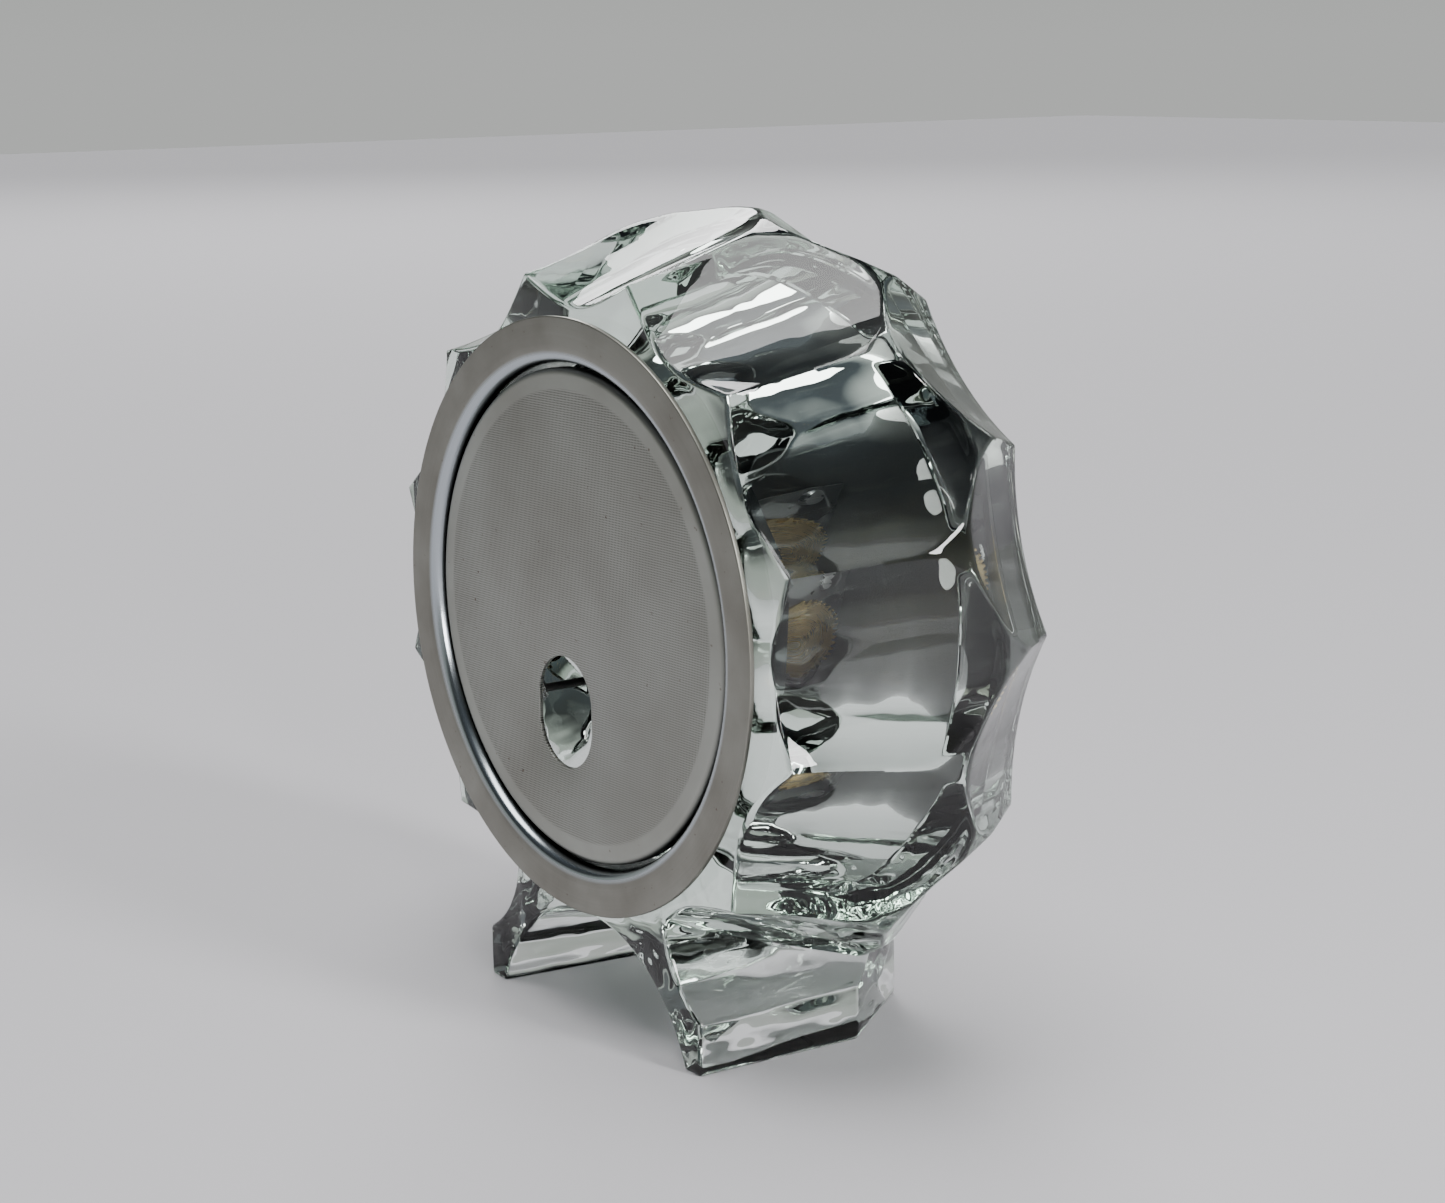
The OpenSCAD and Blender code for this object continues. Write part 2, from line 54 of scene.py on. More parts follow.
def object_from(name, shape, finish=None, smooth=True):
    """Turn a finished bmesh into an object of the scene and free it."""
    mesh = bpy.data.meshes.new(name)
    shape.to_mesh(mesh)
    shape.free()
    if smooth:
        mesh.shade_smooth()
    thing = bpy.data.objects.new(name, mesh)
    studio.collection.objects.link(thing)
    if finish:
        mesh.materials.append(finish)
    return thing


eye = Vector((-0.375, 0.2732, 0.1705))
aim = Vector((-0.0135, 0.0049, 0.0760))
look = (aim - eye).normalized()
right = look.cross(Vector((0, 0, 1))).normalized()
up = right.cross(look)
roll = math.radians(0.72)
right, up = right * math.cos(roll) - up * math.sin(roll), up * math.cos(roll) + right * math.sin(roll)
camera = bpy.data.objects.new("studio_camera", bpy.data.cameras.new("studio_camera"))
camera.data.lens, camera.data.sensor_width = 66.4, 36.0
camera.data.clip_start = 0.02
camera.matrix_world = Matrix.Translation(eye) @ Matrix((right, up, -look)).transposed().to_4x4()
studio.collection.objects.link(camera)
studio.camera = camera

paint = bpy.data.materials.new("pale_floor")
paint.use_nodes = True
matt = paint.node_tree.nodes["Principled BSDF"]
matt.inputs["Base Color"].default_value = (0.56, 0.545, 0.57, 1)
matt.inputs["Roughness"].default_value = 0.9
sweep = bmesh.new()
bmesh.ops.create_grid(sweep, x_segments=1, y_segments=1, size=4.0)
floor = object_from("studio_floor", sweep, paint, smooth=False)

# The room is pale down by the floor, dark from eye height up, and bright straight overhead.
room = bpy.data.worlds.new("studio_room")
studio.world = room
room.use_nodes = True
room_tree = room.node_tree
room_light = room_tree.nodes["Background"]
room_height = room_tree.nodes.new("ShaderNodeSeparateXYZ")
room_ramp = room_tree.nodes.new("ShaderNodeValToRGB")
room_place = room_tree.nodes.new("ShaderNodeTexCoord")
room_tree.links.new(room_place.outputs["Generated"], room_height.inputs[0])
room_tree.links.new(room_height.outputs["Z"], room_ramp.inputs[0])
room_tree.links.new(room_ramp.outputs[0], room_light.inputs[0])
stops = room_ramp.color_ramp.elements
for place, shade in ((0.0, (0.55, 0.56, 0.55, 1)), (0.05, (0.50, 0.52, 0.50, 1)),
                     (0.16, (0.45, 0.48, 0.45, 1)), (0.34, (0.05, 0.055, 0.055, 1)),
                     (0.80, (0.09, 0.105, 0.12, 1)), (1.0, (0.95, 1.0, 0.98, 1))):
    stop = stops.new(place) if 0 < place < 1 else stops[0 if place == 0 else -1]
    stop.color = shade
room_light.inputs[1].default_value = 0.9


def soft_panel(name, place, wide, tall, watts):
    """Hang a soft lamp in the room and turn it to face the middle of the clock."""
    lamp = bpy.data.objects.new(name, bpy.data.lights.new(name, "AREA"))
    lamp.data.shape, lamp.data.size, lamp.data.size_y = "ELLIPSE", wide, tall
    lamp.data.energy = watts
    lamp.location = place
    lamp.rotation_euler = (Vector((0, 0, axis_height)) - Vector(place)).to_track_quat("-Z", "Y").to_euler()
    studio.collection.objects.link(lamp)


soft_panel("window_panel", (-0.95, -0.20, 0.62), 0.20, 0.45, 8)
soft_panel("doorway_panel", (-1.0, 0.35, 0.30), 0.09, 0.34, 3)
soft_panel("far_panel", (2.1, -1.2, 1.6), 1.2, 1.2, 26)
ceiling = bpy.data.objects.new("ceiling_glow", bpy.data.lights.new("ceiling_glow", "SUN"))
ceiling.data.energy, ceiling.data.angle = 2.6, math.radians(44)
ceiling.rotation_euler = (math.radians(-4), math.radians(5), 0)
studio.collection.objects.link(ceiling)

# --- Glass block ---------------------------------------------------------------
# A heavy gob of clear, faintly green glass pressed in a mould and fire-polished.
# Twelve thumb cuts ring its back edge and twelve flatter cuts its front edge; two
# feet stand either side of an arch, and a bore takes the works.
# Its sizes are in mm about the clock axis: x to the side, y up, z forward from the
# back of the ring.
MM = 0.001
ring_mm = (ring_high.x - ring_low.x) / 2 / MM
glass_back, glass_front = 3.0, 55.0
ground = -axis_height / MM
cut_pitch = math.radians(30)
thumb_tip, thumb_set = 0.969 * ring_mm, 0.08 * ring_mm
thumb_lean, thumb_half = math.radians(87.4), math.radians(64.7)
rim_lay, rim_round, rim_foot = math.radians(28.4), 62.0, 1.095 * ring_mm
foot_round, foot_round_x, foot_round_y, foot_round_turn = 18.0, 41.0, -48.1, math.radians(6.8)
arch_y, arch_back_r, arch_front_r = -83.7, 30.2, 22.4
end_round, bore_segments = 0.7, 400


def in_row(x, y, z):
    """Place a point given in mm about the clock axis."""
    return Vector((x * MM, back_face - z * MM, axis_height + y * MM))


def soft_min(a, b, blend):
    """The smaller of two reaches, with the ridge where they cross melted over."""
    mix = np.clip(0.5 + 0.5 * (b - a) / blend, 0, 1)
    return b * (1 - mix) + a * mix - blend * mix * (1 - mix)


def thumb_reach(z, phi):
    """How far out the glass goes under a conical thumb cut, at an angle phi from its middle."""
    spread, deep = math.cos(thumb_half) ** 2, z + thumb_set
    s, c = math.sin(thumb_lean), math.cos(thumb_lean)
    flat = c * deep - s * thumb_tip
    qa = (s * np.cos(phi)) ** 2 - spread
    qb = 2 * np.cos(phi) * (s * flat + spread * thumb_tip)
    qc = flat ** 2 - spread * (thumb_tip * thumb_tip + deep * deep)
    root = np.sqrt(np.maximum(qb * qb - 4 * qa * qc, 0))
    return np.maximum((-qb + root) / (2 * qa), (-qb - root) / (2 * qa))


def rim_reach(z, phi):
    """How far out the glass goes under a round front cut, and far away where the cut doesn't reach."""
    flat = (z - glass_front) * math.sin(rim_lay) - rim_foot * math.cos(rim_lay) - rim_round
    qa = (math.cos(rim_lay) * np.cos(phi)) ** 2 + np.sin(phi) ** 2
    qb = 2 * math.cos(rim_lay) * np.cos(phi) * flat
    qc = flat * flat - rim_round * rim_round
    root = np.sqrt(np.maximum(qb * qb - 4 * qa * qc, 0))
    reach = (-qb - root) / (2 * qa)
    return np.where((qb * qb > 4 * qa * qc) & (reach > 20), reach, 120.0)


def round_reach(z, theta):
    """How far out the body of the block goes at a depth z and an angle theta."""
    turned = np.interp(z, [3, 22, 28, 34, 40, 46, 53.8, 55],
                       np.array([1.19, 1.273, 1.302, 1.318, 1.316, 1.29, 1.215, 1.19]) * ring_mm)
    thumb = (theta + cut_pitch / 2) % cut_pitch - cut_pitch / 2
    rim = theta % cut_pitch - cut_pitch / 2
    thumbs = soft_min(thumb_reach(z, thumb), thumb_reach(z, cut_pitch - np.abs(thumb)), 0.4)
    rims = soft_min(rim_reach(z, rim), rim_reach(z, cut_pitch - np.abs(rim)), 0.4)
    return soft_min(soft_min(rims, turned + 0 * theta, 0.4), thumbs, 0.4)


def foot_side(z, y):
    """How far out the hollowed side of a foot goes."""
    edge = np.interp(z, [glass_back, 35, glass_front], [33.0, 35.9, 22.3])
    middle = foot_round_x + (z - glass_back) * math.tan(foot_round_turn)
    hollow = foot_round ** 2 - (y - foot_round_y) ** 2
    hollow = np.where(hollow > 0, middle - np.sqrt(np.maximum(hollow, 0)), 99.0)
    return soft_min(hollow, edge + 0 * y, 0.6)


def block_outline(z):
    """The block's outline at a depth z: round the top, down a foot, over the arch and up the other."""
    over = np.radians(np.arange(-45.0, 225.01, 0.5))
    reach = round_reach(z, over)
    top = np.stack([reach * np.cos(over), reach * np.sin(over)], 1)
    low = np.radians(np.linspace(-45.0, -80.0, 700))
    reach = round_reach(z, low)
    x, y = reach * np.cos(low), reach * np.sin(low)
    notch = int(np.argmax(x < foot_side(z, y)))
    pick = np.linspace(0, notch, 31)[1:]
    waist = np.stack([np.interp(pick, np.arange(700), x), np.interp(pick, np.arange(700), y)], 1)
    knee = min(waist[-1][1] - 2.0, -64.0)
    heights = np.concatenate([np.linspace(waist[-1][1], knee, 33)[1:],
                              np.linspace(knee, ground, 17)[1:]])
    flank = np.concatenate([waist, np.stack([foot_side(z, heights), heights], 1)])
    flank[-1, 0] -= 0.5
    flank[-2, 0] -= 0.1
    arch_r = np.interp(z, [2, 56], [arch_back_r, arch_front_r])
    half = math.asin(min((ground - arch_y) / arch_r, 1.0))
    inner = arch_r * math.cos(half)
    base = np.stack([np.linspace(flank[-1, 0], inner, 12)[1:], np.full(11, ground)], 1)
    swing = np.linspace(math.pi - half, half, 91)[1:-1]
    arch = np.stack([arch_r * np.cos(swing), arch_y + arch_r * np.sin(swing)], 1)
    mirror = np.array([-1, 1])
    return np.concatenate([top, flank * mirror, base * mirror, arch, base[::-1], flank[::-1]])


quarter = np.linspace(0, math.pi / 2, 6)
depths = list(glass_back + end_round * (1 - np.cos(quarter)))[:-1]
depths += list(np.linspace(glass_back + end_round, glass_front - end_round, 98))
depths += list(glass_front - end_round * (1 - np.sin(quarter)))[1:]


def drawn_out(shape, ring, loop):
    """Extrude a loop of edges once; give back its new points, in the old order, and its new edges."""
    grown = bmesh.ops.extrude_edge_only(shape, edges=loop)["geom"]
    fresh = {v for v in grown if isinstance(v, bmesh.types.BMVert)}
    ring = [next(e.other_vert(v) for e in v.link_edges if e.other_vert(v) in fresh) for v in ring]
    loop = [e for e in grown if isinstance(e, bmesh.types.BMEdge) and all(v in fresh for v in e.verts)]
    return ring, loop


block = bmesh.new()
ring = bmesh.ops.create_circle(block, segments=len(block_outline(20.0)), radius=1.0)["verts"]
loop = back_rim = list(block.edges)
for step, z in enumerate(depths):
    if step:
        ring, loop = drawn_out(block, ring, loop)
    line = block_outline(z)
    along = np.roll(line, -1, 0) - np.roll(line, 1, 0)
    outward = np.stack([along[:, 1], -along[:, 0]], 1) / np.linalg.norm(along, axis=1)[:, None]
    rounding = max(end_round - (z - glass_back), end_round - (glass_front - z), 0)
    line = line - outward * (end_round - math.sqrt(end_round ** 2 - rounding ** 2))
    for vert, (x, y) in zip(ring, line):
        vert.co = in_row(x, y, z)
front_rim = loop
bore = [(45.6, 3.0), (45.18, 3.15), (45.0, 3.6), (45.0, 14), (45.0, 25), (45.0, 36), (45.0, 45.4),
        (45.12, 45.75), (45.8, 45.8), (45.8, 53.8), (46.0, 54.0), (48.2, 54.0), (48.4, 54.2),
        (48.4, 54.7), (48.7, 55.0)]
before = set(block.edges)
ring = bmesh.ops.create_circle(block, segments=bore_segments, radius=1.0)["verts"]
loop = [e for e in block.edges if e not in before]
for step, (r, z) in enumerate(bore):
    if step == 0:
        back_rim = back_rim + loop
    else:
        ring, loop = drawn_out(block, ring, loop)
    for k, vert in enumerate(ring):
        turn = math.tau * k / bore_segments
        vert.co = in_row(r * math.cos(turn), r * math.sin(turn), z)
walls = len(block.faces)
bmesh.ops.triangle_fill(block, use_beauty=True, edges=back_rim)
bmesh.ops.triangle_fill(block, use_beauty=True, edges=front_rim + loop)
bmesh.ops.recalc_face_normals(block, faces=block.faces)
block.faces.ensure_lookup_table()
caps = [f.index for f in block.faces[walls:]]

glass = bpy.data.materials.new("pressed_clear_glass")
glass.use_nodes = True
tree = glass.node_tree
shader = tree.nodes["Principled BSDF"]
shader.inputs["Base Color"].default_value = (0.985, 1.0, 0.992, 1)
shader.inputs["Roughness"].default_value = 0.0
shader.inputs["IOR"].default_value = 1.52
shader.inputs["Transmission Weight"].default_value = 1.0
shader.inputs["Metallic"].default_value = 0.0
place = tree.nodes.new("ShaderNodeTexCoord")
# The pressed skin has a slow ripple all over, and finer chill marks drawn out along the feet.
ripple, chill, height, low_down, share, ripple_bump, chill_bump = (
    tree.nodes.new("ShaderNode" + kind)
    for kind in ("TexNoise", "TexNoise", "SeparateXYZ", "MapRange", "Math", "Bump", "Bump"))
ripple.inputs["Scale"].default_value, ripple.inputs["Detail"].default_value = 60, 1.5
chill.inputs["Scale"].default_value, chill.inputs["Detail"].default_value = 170, 1.0
drawn = tree.nodes.new("ShaderNodeMapping")
drawn.inputs["Scale"].default_value = (1, 0.4, 1)
low_down.inputs["From Min"].default_value, low_down.inputs["From Max"].default_value = 0.042, 0.018
low_down.inputs["To Min"].default_value = 0.06
share.operation = "MULTIPLY"
ripple_bump.inputs["Strength"].default_value, ripple_bump.inputs["Distance"].default_value = 0.35, 0.0012
chill_bump.inputs["Strength"].default_value, chill_bump.inputs["Distance"].default_value = 0.7, 0.0011
tree.links.new(place.outputs["Object"], ripple.inputs["Vector"])
tree.links.new(place.outputs["Object"], drawn.inputs["Vector"])
tree.links.new(drawn.outputs["Vector"], chill.inputs["Vector"])
tree.links.new(place.outputs["Object"], height.inputs[0])
tree.links.new(height.outputs["Z"], low_down.inputs["Value"])
tree.links.new(chill.outputs["Fac"], share.inputs[0])
tree.links.new(low_down.outputs["Result"], share.inputs[1])
tree.links.new(ripple.outputs["Fac"], ripple_bump.inputs["Height"])
tree.links.new(share.outputs[0], chill_bump.inputs["Height"])
tree.links.new(ripple_bump.outputs["Normal"], chill_bump.inputs["Normal"])
tree.links.new(chill_bump.outputs["Normal"], shader.inputs["Normal"])
tint = tree.nodes.new("ShaderNodeVolumeAbsorption")
tint.inputs["Color"].default_value = (0.55, 0.93, 0.66, 1)
tint.inputs["Density"].default_value = 4.5
tree.links.new(tint.outputs[0], tree.nodes["Material Output"].inputs["Volume"])

block_piece = object_from("pressed_glass_block", block, glass)
for index in caps:
    block_piece.data.polygons[index].use_smooth = False
block_piece.data.set_sharp_from_angle(angle=math.radians(42))
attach(block_piece, "case")
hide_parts("glass_block")

# --- Back ring -----------------------------------------------------------------
# A turned ring of satin steel, brushed round. Its sleeve slips into the bore, its
# shoulder bears on the glass and its rim is undercut to a thin edge.


def spun_piece(name, profile, turns, finish):
    """Spin a closed profile of (radius, depth) in mm about the clock axis."""
    shape = bmesh.new()
    line = [shape.verts.new(in_row(r, 0, z)) for r, z in profile]
    edges = [shape.edges.new((a, b)) for a, b in zip(line, line[1:] + line[:1])]
    bmesh.ops.spin(shape, geom=line + edges, cent=in_row(0, 0, 0), axis=(0, 1, 0), angle=math.tau,
                   steps=turns, use_merge=True)
    bmesh.ops.remove_doubles(shape, verts=shape.verts, dist=1e-7)
    bmesh.ops.recalc_face_normals(shape, faces=shape.faces)
    piece = object_from(name, shape, finish)
    piece.data.set_sharp_from_angle(angle=math.radians(35))
    return piece


def rounded(corners, radius=0.25, steps=4):
    """A closed profile with each corner made a small arc, of its own size where it gives one."""
    out = []
    for before, here, after in zip(corners[-1:] + corners[:-1], corners, corners[1:] + corners[:1]):
        a, p, b = Vector(before[:2]), Vector(here[:2]), Vector(after[:2])
        cut = min(here[2] if len(here) > 2 else radius, (a - p).length * 0.45, (b - p).length * 0.45)
        start, end = p + (a - p).normalized() * cut, p + (b - p).normalized() * cut
        for k in range(steps + 1):
            t = k / steps
            out.append(tuple(start * (1 - t) ** 2 + p * 2 * t * (1 - t) + end * t * t))
    return out


wear = bpy.data.node_groups.new("age_and_wear", "ShaderNodeTree")
for label, kind in (("Vector", "NodeSocketVector"), ("Scale", "NodeSocketFloat"),
                    ("Speck Scale", "NodeSocketFloat")):
    wear.interface.new_socket(label, in_out="INPUT", socket_type=kind)
for label in ("Blotch", "Specks", "Grain"):
    wear.interface.new_socket(label, in_out="OUTPUT", socket_type="NodeSocketFloat")
wear_in, wear_out = wear.nodes.new("NodeGroupInput"), wear.nodes.new("NodeGroupOutput")
for label, scale_from, detail, low, high in (("Blotch", "Scale", 5, 0.35, 0.72),
                                             ("Specks", "Speck Scale", 2, 0.72, 0.80),
                                             ("Grain", "Speck Scale", 8, 0.2, 0.8)):
    cloud, level = wear.nodes.new("ShaderNodeTexNoise"), wear.nodes.new("ShaderNodeMapRange")
    cloud.inputs["Detail"].default_value = detail
    level.inputs["From Min"].default_value, level.inputs["From Max"].default_value = low, high
    wear.links.new(wear_in.outputs["Vector"], cloud.inputs["Vector"])
    wear.links.new(wear_in.outputs[scale_from], cloud.inputs["Scale"])
    wear.links.new(cloud.outputs["Fac"], level.inputs["Value"])
    wear.links.new(level.outputs["Result"], wear_out.inputs[label])

turning = bpy.data.node_groups.new("turned_lines", "ShaderNodeTree")
for label, kind in (("Vector", "NodeSocketVector"), ("Lines", "NodeSocketFloat")):
    turning.interface.new_socket(label, in_out="INPUT", socket_type=kind)
for label in ("Shade", "Radius"):
    turning.interface.new_socket(label, in_out="OUTPUT", socket_type="NodeSocketFloat")
t_in, t_out = turning.nodes.new("NodeGroupInput"), turning.nodes.new("NodeGroupOutput")
t_split, t_pair, t_length = (turning.nodes.new("ShaderNode" + kind)
                             for kind in ("SeparateXYZ", "CombineXYZ", "VectorMath"))
t_length.operation = "LENGTH"
t_noise, t_scaled, t_angle, t_lane = (turning.nodes.new("ShaderNode" + kind) for kind in
                                      ("TexNoise", "Math", "Math", "CombineXYZ"))
t_scaled.operation, t_angle.operation = "MULTIPLY", "ARCTAN2"
t_noise.inputs["Scale"].default_value = 1.0
t_noise.inputs["Detail"].default_value = 4.0
turning.links.new(t_in.outputs["Vector"], t_split.inputs[0])
turning.links.new(t_split.outputs["X"], t_pair.inputs["X"])
turning.links.new(t_split.outputs["Z"], t_pair.inputs["Y"])
turning.links.new(t_pair.outputs[0], t_length.inputs[0])
turning.links.new(t_length.outputs["Value"], t_scaled.inputs[0])
turning.links.new(t_in.outputs["Lines"], t_scaled.inputs[1])
turning.links.new(t_split.outputs["Z"], t_angle.inputs[0])
turning.links.new(t_split.outputs["X"], t_angle.inputs[1])
turning.links.new(t_scaled.outputs[0], t_lane.inputs["X"])
turning.links.new(t_angle.outputs[0], t_lane.inputs["Y"])
turning.links.new(t_lane.outputs[0], t_noise.inputs["Vector"])
turning.links.new(t_noise.outputs["Fac"], t_out.inputs["Shade"])
turning.links.new(t_length.outputs["Value"], t_out.inputs["Radius"])


def finish_of(name, light, dark, rough, metallic=0.0, cloud=90, speck=1400, centre=None, lines=2500,
              bump=0.15, speck_colour=None, turned=0.0, coat=0.0):
    """A worn finish: blotches of two shades, specks, fine grain and, on turned work, lathe lines."""
    made = bpy.data.materials.new(name)
    made.use_nodes = True
    t = made.node_tree
    face = t.nodes["Principled BSDF"]
    face.inputs["Metallic"].default_value = metallic
    face.inputs["Coat Weight"].default_value = coat
    spot, shift = t.nodes.new("ShaderNodeTexCoord"), t.nodes.new("ShaderNodeMapping")
    if centre is not None:
        shift.inputs["Location"].default_value = -Vector(centre)
    t.links.new(spot.outputs["Object"], shift.inputs["Vector"])
    worn = t.nodes.new("ShaderNodeGroup")
    worn.node_tree = wear
    worn.inputs["Scale"].default_value, worn.inputs["Speck Scale"].default_value = cloud, speck
    t.links.new(shift.outputs[0], worn.inputs["Vector"])
    shade, spots, gloss = (t.nodes.new("ShaderNode" + kind) for kind in ("Mix", "Mix", "MapRange"))
    shade.data_type = spots.data_type = "RGBA"
    shade.inputs["A"].default_value, shade.inputs["B"].default_value = (*light, 1), (*dark, 1)
    spots.inputs["B"].default_value = (*(speck_colour or [c * 0.45 for c in dark]), 1)
    gloss.inputs["To Min"].default_value, gloss.inputs["To Max"].default_value = rough
    relief = t.nodes.new("ShaderNodeBump")
    relief.inputs["Strength"].default_value, relief.inputs["Distance"].default_value = bump, 0.0002
    mask, height = worn.outputs["Blotch"], worn.outputs["Grain"]
    if turned:
        lathe, blend = t.nodes.new("ShaderNodeGroup"), t.nodes.new("ShaderNodeMix")
        lathe.node_tree = turning
        lathe.inputs["Lines"].default_value = lines
        blend.inputs["Factor"].default_value = turned
        t.links.new(shift.outputs[0], lathe.inputs["Vector"])
        t.links.new(mask, blend.inputs["A"])
        t.links.new(lathe.outputs["Shade"], blend.inputs["B"])
        mask, height = blend.outputs["Result"], lathe.outputs["Shade"]
    t.links.new(mask, shade.inputs["Factor"])
    t.links.new(worn.outputs["Specks"], spots.inputs["Factor"])
    t.links.new(shade.outputs["Result"], spots.inputs["A"])
    t.links.new(spots.outputs["Result"], face.inputs["Base Color"])
    t.links.new(mask, gloss.inputs["Value"])
    t.links.new(gloss.outputs["Result"], face.inputs["Roughness"])
    t.links.new(height, relief.inputs["Height"])
    t.links.new(relief.outputs["Normal"], face.inputs["Normal"])
    return made


axis_point = Vector((0, 0, axis_height))
ring_steel = finish_of("satin_ring_steel", (0.285, 0.285, 0.255), (0.195, 0.185, 0.16),
                       (0.36, 0.48), metallic=1.0, centre=axis_point, cloud=75, speck=900,
                       turned=0.3, lines=4000, bump=0.10, speck_colour=(0.14, 0.10, 0.08))
lip = 0.844 * ring_mm
ring_profile = rounded([(ring_mm, 0.9, 0.15), (ring_mm, 0.0, 0.3), (lip + 2.6, 0.0, 1.2),
                        (lip + 0.8, 0.45, 0.9), (lip, 2.4), (lip, 12.0, 0.2),
                        (lip + 0.8, 12.0, 0.2), (lip + 0.8, 3.0, 0.1), (ring_mm - 4.0, 3.0, 0.2)],
                       1.1, 6)


def paint_gap_shade(finish, radius_from, radius_to):
    """Painted shade: turn the metal's colour near black down in the narrow gap between ring and cover,
    where shade falls.
    """
    t = finish.node_tree
    face = t.nodes["Principled BSDF"]
    split, deep, near, both, gap_shade, around = (
        t.nodes.new("ShaderNode" + kind)
        for kind in ("SeparateXYZ", "MapRange", "MapRange", "Math", "Mix", "Group"))
    around.node_tree = turning
    deep.inputs["From Min"].default_value = back_face - 1.2 * MM
    deep.inputs["From Max"].default_value = back_face - 2.6 * MM
    near.inputs["From Min"].default_value = radius_from * MM
    near.inputs["From Max"].default_value = radius_to * MM
    both.operation = "MULTIPLY"
    gap_shade.data_type = "RGBA"
    # Painted shade: the near-black colour laid into the gap.
    gap_shade.inputs["B"].default_value = (0.012, 0.011, 0.010, 1)
    unshaded = face.inputs["Base Color"].links[0].from_socket
    t.links.new(t.nodes["Texture Coordinate"].outputs["Object"], split.inputs[0])
    t.links.new(t.nodes["Mapping"].outputs[0], around.inputs["Vector"])
    t.links.new(split.outputs["Y"], deep.inputs["Value"])
    t.links.new(around.outputs["Radius"], near.inputs["Value"])
    t.links.new(deep.outputs["Result"], both.inputs[0])
    t.links.new(near.outputs["Result"], both.inputs[1])
    t.links.new(both.outputs[0], gap_shade.inputs["Factor"])
    t.links.new(unshaded, gap_shade.inputs["A"])
    t.links.new(gap_shade.outputs["Result"], face.inputs["Base Color"])


# The lip is polished smoother by the cover sliding past it, and its colour is painted a brighter cool
# blue-grey, a painted reflection of cool light.
tree = ring_steel.node_tree
shader = tree.nodes["Principled BSDF"]
lip_polish_and_painted_reflection, painted_lip_reflection, smooth_lip, around = (
    tree.nodes.new("ShaderNode" + kind) for kind in ("MapRange", "Mix", "Mix", "Group"))
around.node_tree, painted_lip_reflection.data_type = turning, "RGBA"
lip_polish_and_painted_reflection.inputs["From Min"].default_value = (lip + 2.3) * MM
lip_polish_and_painted_reflection.inputs["From Max"].default_value = (lip + 1.5) * MM
# Painted reflection: the brighter cool blue-grey colour laid on the lip.
painted_lip_reflection.inputs["B"].default_value = (0.45, 0.49, 0.52, 1)
smooth_lip.inputs["B"].default_value = 0.2
dull, flat_gloss = (shader.inputs[name].links[0].from_socket for name in ("Base Color", "Roughness"))
tree.links.new(tree.nodes["Mapping"].outputs[0], around.inputs["Vector"])
tree.links.new(around.outputs["Radius"], lip_polish_and_painted_reflection.inputs["Value"])
for blend, worn in ((painted_lip_reflection, dull), (smooth_lip, flat_gloss)):
    tree.links.new(lip_polish_and_painted_reflection.outputs["Result"], blend.inputs["Factor"])
    tree.links.new(worn, blend.inputs["A"])
tree.links.new(painted_lip_reflection.outputs["Result"], shader.inputs["Base Color"])
tree.links.new(smooth_lip.outputs["Result"], shader.inputs["Roughness"])
# Painted shade down in the gap, on the ring's sleeve.
paint_gap_shade(ring_steel, lip + 1.2, lip + 0.6)
ring_piece = spun_piece("spun_back_ring", ring_profile, 240, ring_steel)
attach(ring_piece, "case")
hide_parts("back_ring")

# --- Back cover ------------------------------------------------------------------
# A shallow pressed aluminium lid with a plain rolled edge and a field of fine
# stamped dots. One oval hole lets a fingertip in to the setting wheel. Three
# spring clips inside the skirt hold it in the ring's sleeve.
cover_low, cover_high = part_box("back_cover")
cover_r = (cover_high.x - cover_low.x) / 2 / MM - 0.03
cover_face = (back_face - cover_high.y) / MM
cover_skirt = (back_face - cover_low.y) / MM
hole_x, hole_y, hole_r, hole_spread = 3.3, -17.2, 8.15, 1.8
lid = bmesh.new()


def lid_loop(points):
    """Lay a loop on its first row of points, then draw it through the others."""
    before = set(lid.edges)
    ring = bmesh.ops.create_circle(lid, segments=len(points[0]), radius=1.0)["verts"]
    loop = first = [e for e in lid.edges if e not in before]
    for step, row in enumerate(points):
        if step:
            ring, loop = drawn_out(lid, ring, loop)
        for vert, place in zip(ring, row):
            vert.co = in_row(*place)
    return first, loop


edge_curve = [(cover_r - 1.3, 0), (cover_r - 1.0, 0.03), (cover_r - 0.7, 0.12), (cover_r - 0.42, 0.28),
              (cover_r - 0.2, 0.5), (cover_r - 0.07, 0.75), (cover_r - 0.01, 1.05), (cover_r, 1.4)]
edge_rows = [(r, cover_face + z) for r, z in edge_curve]
edge_rows += [(cover_r, cover_skirt - 0.1), (cover_r - 0.1, cover_skirt), (cover_r - 0.7, cover_skirt),
              (cover_r - 0.8, cover_skirt - 0.1), (cover_r - 0.8, cover_face + 1.7),
              (cover_r - 1.1, cover_face + 1.1), (cover_r - 1.8, cover_face + 0.8)]
edge_turns = [[(r * math.cos(math.tau * k / 240), r * math.sin(math.tau * k / 240), z)
               for k in range(240)] for r, z in edge_rows]
hole_rows = []
for grow, z in ((0.14, 0), (0.04, 0.04), (0, 0.14), (0, 0.66), (0.04, 0.76), (0.14, 0.8)):
    turn = [math.tau * (k + 0.5) / 96 for k in range(96)]
    hole_rows.append([(hole_x + (hole_r + grow) * math.cos(a),
                       hole_y + (hole_r + grow) * math.sin(a) + math.copysign(hole_spread, math.sin(a)),
                       cover_face + z) for a in turn])
edge_front, edge_back = lid_loop(edge_turns)
hole_front, hole_back = lid_loop(hole_rows)
bmesh.ops.triangle_fill(lid, use_beauty=True, edges=edge_front + hole_front)
bmesh.ops.triangle_fill(lid, use_beauty=True, edges=edge_back + hole_back)
bmesh.ops.recalc_face_normals(lid, faces=lid.faces)

